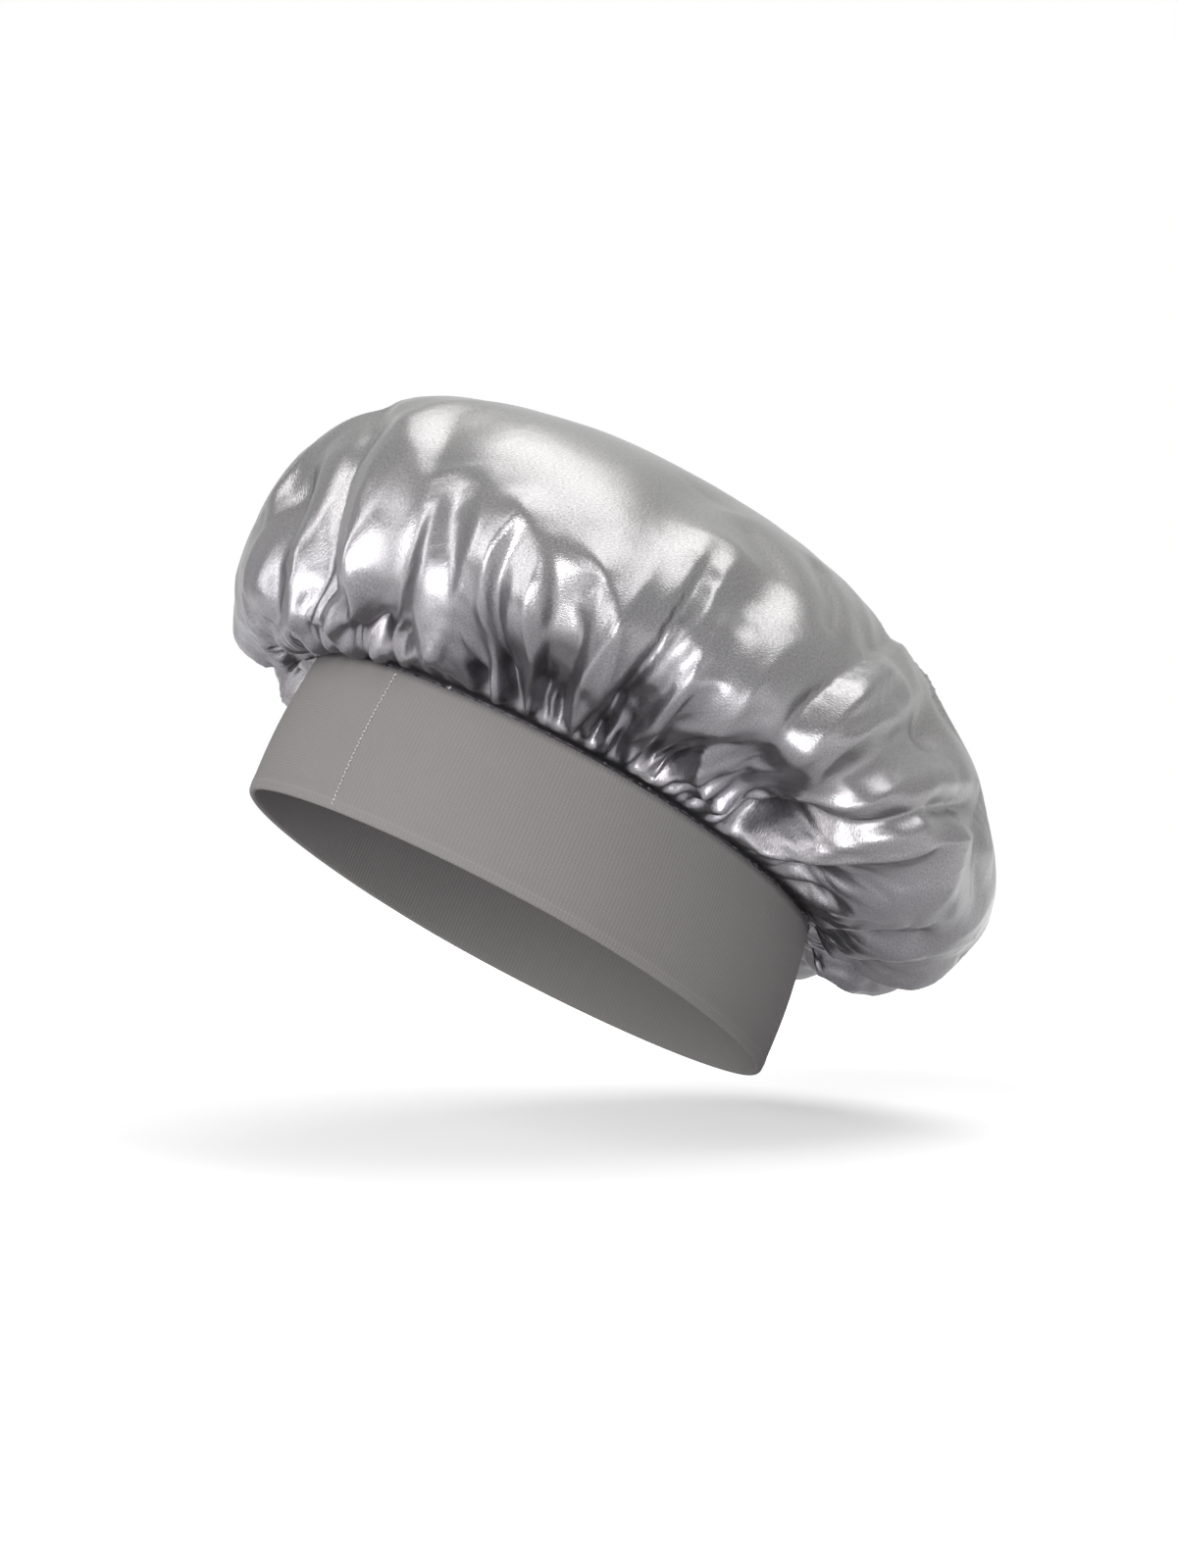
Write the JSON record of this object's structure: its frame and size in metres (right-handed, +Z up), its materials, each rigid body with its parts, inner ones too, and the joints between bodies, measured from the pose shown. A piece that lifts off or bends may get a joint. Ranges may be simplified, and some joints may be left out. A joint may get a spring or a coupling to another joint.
{
  "type": "hair bonnet",
  "caption": "Puffy satin sleep bonnet: a round crown gathered into a wide, folded stretch-knit band that holds it on the head.",
  "frame": {"origin": "middle of the object's bounding box, on the surface that the band's lower edge stands on", "axes": "+Z up through the crown, +X towards the back of the head, +Y towards the wearer's right-hand side when the front faces -X"},
  "size_m": [0.285, 0.2434, 0.1634],
  "materials": {
    "satin": "silver-grey satin weave, glossy",
    "knit": "fine matte stretch knit, mid grey",
    "pale_thread": "spun thread, light grey",
    "dark_thread": "spun thread, dark grey"
  },
  "bodies": {
    "root": {"satin_crown": "satin", "knit_band": "knit", "band_join_stitch_outer": "pale_thread", "band_join_stitch_inner": "pale_thread", "gather_seam_thread": "dark_thread", "overlock_thread": "pale_thread"}
  },
  "joints": []
}
